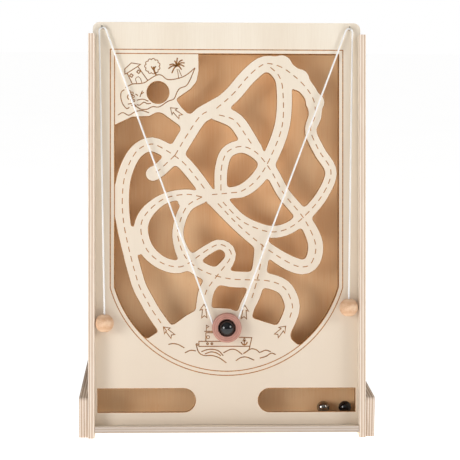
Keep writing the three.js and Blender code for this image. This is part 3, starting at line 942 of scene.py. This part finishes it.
def make_eye(name, across):
    """A screw eye: bent wire with a small gap, a collar and a threaded shank into the board."""
    loop, wire, shank, collar, deep = 1.9, 0.6, 0.75, 0.95, 3.3
    root, crest, pitch = 0.58, 0.98, 0.6
    gap, steps = 24, 40
    angles = [math.radians(-90 + gap + (360 - gap) * i / steps) for i in range(steps + 1)]
    bend = [Vector((0, loop * math.cos(a), EYE_OUT + loop * math.sin(a))) for a in angles]
    top = EYE_OUT - loop
    neck = [(0, top + 0.3), (shank, top + 0.1), (shank, 0.5), (collar, 0.3), (collar, 0.02)]
    thread = [(root, -0.1)]
    while thread[-1][1] > -deep + pitch:
        depth = thread[-1][1]
        thread += [(crest, depth - pitch / 2), (root, depth - pitch)]
    body = neck + thread + [(0, -deep)]
    parts = join(tube(bend, wire, 14), lathe(body, 20))
    obj = add_object(f"eye_{name}", *parts, matrix=case_at(across, EYE_UP, 0))
    finish_piece(obj, "root", ZINC, [f"screw_eye_{name}"])


def cross_recess(size, depth):
    """A tapered plus-shaped tool for the drive of a screw head, pointing down from height 0.5."""
    arm, half = size / 2, size / 8
    plus = [
        (half, arm), (-half, arm), (-half, half), (-arm, half), (-arm, -half), (-half, -half),
        (-half, -arm), (half, -arm), (half, -half), (arm, -half), (arm, half), (half, half),
    ]
    top = [(x, y, 0.5) for x, y in plus]
    tip = [(x * 0.55, y * 0.55, -depth) for x, y in plus]
    return top + tip, ring_faces(2, 12)


def make_screw(node):
    """A countersunk wood screw with a cross drive, where its CAD node is."""
    low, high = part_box(node)
    outward = 1 if high.x > 0 else -1
    face = high.x if outward > 0 else low.x
    middle = (low + high) / 2
    head, shank, sink, long = 3.6, 1.35, 2.1, 12.6
    crest, pitch = shank + 0.15, 0.9
    turn = Matrix.Rotation(outward * math.pi / 2, 4, "Y")
    at = Matrix.Translation((face, middle.y, middle.z)) @ turn
    thread = []
    depth = sink
    while depth < long - 2:
        thread += [(shank, -depth), (crest, -depth - pitch / 2), (shank, -depth - pitch)]
        depth += pitch
    profile = [(0, 0), (head - 0.25, 0), (head, -0.2), (shank, -sink), *thread[1:], (0, -long)]
    obj = add_object(f"wood_{node}", *lathe(profile, 40), matrix=at, smooth=False)
    cutter = add_object("drive", *cross_recess(size=3.6, depth=1.6), matrix=at, smooth=False)
    cut = obj.modifiers.new("drive", "BOOLEAN")
    cut.object, cut.operation, cut.solver = cutter, "DIFFERENCE", "EXACT"
    bpy.context.view_layer.update()
    shown = obj.evaluated_get(bpy.context.evaluated_depsgraph_get())
    carved = bpy.data.meshes.new_from_object(shown)
    obj.modifiers.clear()
    obj.data = carved
    bpy.data.objects.remove(cutter)
    finish_piece(obj, "root", ZINC, [node])


make_ring()
make_ball("ring_ball_gloss", "ring_ball", "ring_ball", RING_BALL, BLACK)
make_ball("trough_ball_steel", "pocket_ball_steel", "steel_ball", TROUGH_BALL, STEEL)
make_ball("trough_ball_black", "pocket_ball_black", "black_ball", TROUGH_BALL, BLACK)
for side, facts in CORDS.items():
    make_bead(side, facts["knob"])
    make_eye(side, facts["eye"])
for side in ("left", "right"):
    for end in ("front", "rear"):
        make_screw(f"foot_screw_{side}_{end}")


# ---- floor and light ----

FLOOR_REACH, FLOOR_CORNERS, FLOOR_LEVEL, FLOOR_GLOW = 20000, 64, -0.02, 0.8
# The world's strength as the camera sees it, and as a light
BACKGROUND, SURROUND = 1.0, 0.16
SUN_FROM, SUN_STRENGTH, SUN_SPREAD = Vector((-0.22, -0.6, 0.77)), 0.2, math.radians(70)
SOFTBOX_SIZE, SOFTBOX_AIM = 0.75, Vector((0, 0, 0.2))
SOFTBOXES = {"key": ((-1.2, -1.05, 0.45), 9.5), "fill": ((1.25, -0.9, 0.8), 8)}


def make_floor():
    material, tree, shader = new_material("floor", Roughness=0.9)
    vector = add_node(tree, "TexCoord").outputs["Object"]
    paper = noise(tree, vector, (3, 3, 3), 2)
    tone = mix(tree, spread_out(tree, paper, 0.3, 0.7), colour(243, 242, 241), colour(247, 246, 245))
    tree.links.new(tone, shader.inputs["Base Color"])
    shader.inputs["Emission Color"].default_value = (1, 1, 1, 1)
    shader.inputs["Emission Strength"].default_value = FLOOR_GLOW
    angles = [2 * math.pi * i / FLOOR_CORNERS for i in range(FLOOR_CORNERS)]
    vertices = [(FLOOR_REACH * math.cos(a), FLOOR_REACH * math.sin(a), FLOOR_LEVEL) for a in angles]
    faces = [tuple(range(FLOOR_CORNERS))]
    floor = add_object("floor", vertices, faces, matrix=Matrix.Identity(4), smooth=False)
    floor.data.materials.append(material)


def softbox(name, at, power):
    data = bpy.data.lights.new(name, "AREA")
    data.shape, data.size, data.energy = "DISK", SOFTBOX_SIZE, power
    light = bpy.data.objects.new(name, data)
    bpy.context.scene.collection.objects.link(light)
    aim = (SOFTBOX_AIM - Vector(at)).to_track_quat("-Z", "Y")
    light.matrix_world = Matrix.Translation(at) @ aim.to_matrix().to_4x4()


def make_light():
    world = bpy.data.worlds.new("studio")
    world.use_nodes = True
    tree = world.node_tree
    seen = add_node(tree, "LightPath").outputs["Is Camera Ray"]
    strength = add_node(tree, "MapRange", {"Value": seen, "To Min": SURROUND, "To Max": BACKGROUND})
    tree.links.new(strength.outputs[0], tree.nodes["Background"].inputs["Strength"])
    tree.nodes["Background"].inputs["Color"].default_value = (1, 1, 1, 1)
    bpy.context.scene.world = world
    data = bpy.data.lights.new("overhead", "SUN")
    data.energy, data.angle = SUN_STRENGTH, SUN_SPREAD
    sun = bpy.data.objects.new("overhead", data)
    bpy.context.scene.collection.objects.link(sun)
    sun.matrix_world = SUN_FROM.to_track_quat("Z", "Y").to_matrix().to_4x4()
    for name, (at, power) in SOFTBOXES.items():
        softbox(name, at, power)
    bpy.context.scene.view_settings.view_transform = "Standard"


make_floor()
make_light()
